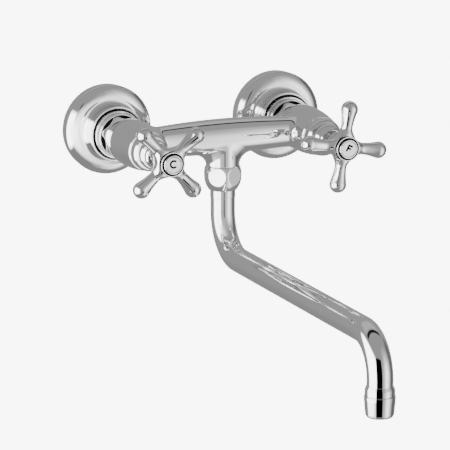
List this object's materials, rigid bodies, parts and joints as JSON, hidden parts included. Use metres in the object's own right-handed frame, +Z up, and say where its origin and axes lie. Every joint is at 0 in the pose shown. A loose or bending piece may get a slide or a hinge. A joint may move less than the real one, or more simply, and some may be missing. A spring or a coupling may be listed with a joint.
{
  "type": "bridge kitchen faucet",
  "caption": "Wall-mounted bridge kitchen faucet with cross handles, screw-down valves and a swivelling S-shaped spout below the bridge.",
  "frame": {"origin": "on the wall plane, midway between the axes of the two wall inlets", "axes": "+Y into the wall along the inlets, the tap stands out towards -Y; +Z up; hot inlet at -X, cold inlet at +X"},
  "size_m": [0.2241, 0.4079, 0.1878],
  "materials": {
    "polished_chrome": "mirror polished",
    "bare_brass": "turned",
    "black_rubber": "matt",
    "red_fibre": "pressed fibre",
    "white_nylon": "satin",
    "stainless_steel": "bright",
    "grey_plastic": "moulded",
    "black_enamel": "gloss enamel"
  },
  "bodies": {
    "tap_body": {"bridge_body": "polished_chrome", "spout_nut": "polished_chrome", "spout_upper_washer": "white_nylon", "spout_lower_washer": "white_nylon", "hot_wall_flange": "polished_chrome", "hot_eccentric_union": "polished_chrome", "hot_union_washer": "red_fibre", "hot_union_nut": "polished_chrome", "hot_union_tailpiece": "polished_chrome", "hot_headwork_gasket": "red_fibre", "hot_headwork": "polished_chrome", "hot_bonnet_shroud": "polished_chrome", "cold_wall_flange": "polished_chrome", "cold_eccentric_union": "polished_chrome", "cold_union_washer": "red_fibre", "cold_union_nut": "polished_chrome", "cold_union_tailpiece": "polished_chrome", "cold_headwork_gasket": "red_fibre", "cold_headwork": "polished_chrome", "cold_bonnet_shroud": "polished_chrome"},
    "hot_handle": {"hot_spindle": "polished_chrome", "hot_spindle_seals": "black_rubber", "hot_spindle_clip": "stainless_steel", "hot_cross_handle": "polished_chrome", "hot_handle_screw": "stainless_steel", "hot_index_cap": "polished_chrome", "hot_index_letter": "black_enamel"},
    "hot_plunger": {"hot_plunger": "bare_brass", "hot_seat_washer": "black_rubber", "hot_washer_screw": "stainless_steel"},
    "cold_handle": {"cold_spindle": "polished_chrome", "cold_spindle_seals": "black_rubber", "cold_spindle_clip": "stainless_steel", "cold_cross_handle": "polished_chrome", "cold_handle_screw": "stainless_steel", "cold_index_cap": "polished_chrome", "cold_index_letter": "black_enamel"},
    "cold_plunger": {"cold_plunger": "bare_brass", "cold_seat_washer": "black_rubber", "cold_washer_screw": "stainless_steel"},
    "spout": {"spout_swivel": "polished_chrome", "spout_seals": "black_rubber", "spout_tube": "polished_chrome", "outlet_bush": "polished_chrome", "aerator_washer": "black_rubber", "aerator_housing": "polished_chrome", "aerator_insert": "grey_plastic", "aerator_screens": "stainless_steel"}
  },
  "joints": [
    {"name": "hot_handle_turn", "type": "hinge", "parent": "tap_body", "child": "hot_handle", "pos_m": [-0.075, -0.1445, 0.008], "axis": [0, -1, 0], "range_deg": [0, 900]},
    {"name": "hot_plunger_lift", "type": "slide", "parent": "tap_body", "child": "hot_plunger", "axis": [0, -1, 0], "range_m": [0, 0.0051]},
    {"name": "cold_handle_turn", "type": "hinge", "parent": "tap_body", "child": "cold_handle", "pos_m": [0.075, -0.1445, 0.008], "axis": [0, -1, 0], "range_deg": [0, 900]},
    {"name": "cold_plunger_lift", "type": "slide", "parent": "tap_body", "child": "cold_plunger", "axis": [0, -1, 0], "range_m": [0, 0.0051]},
    {"name": "spout_swivel_turn", "type": "hinge", "parent": "tap_body", "child": "spout", "pos_m": [0, -0.073, -0.03], "axis": [0, 0, 1], "range_deg": [-95, 95]}
  ],
  "couplings": [
    {"joint": "hot_plunger_lift", "follows": "hot_handle_turn", "m_per_rad": 0.00031831},
    {"joint": "cold_plunger_lift", "follows": "cold_handle_turn", "m_per_rad": 0.00031831}
  ]
}
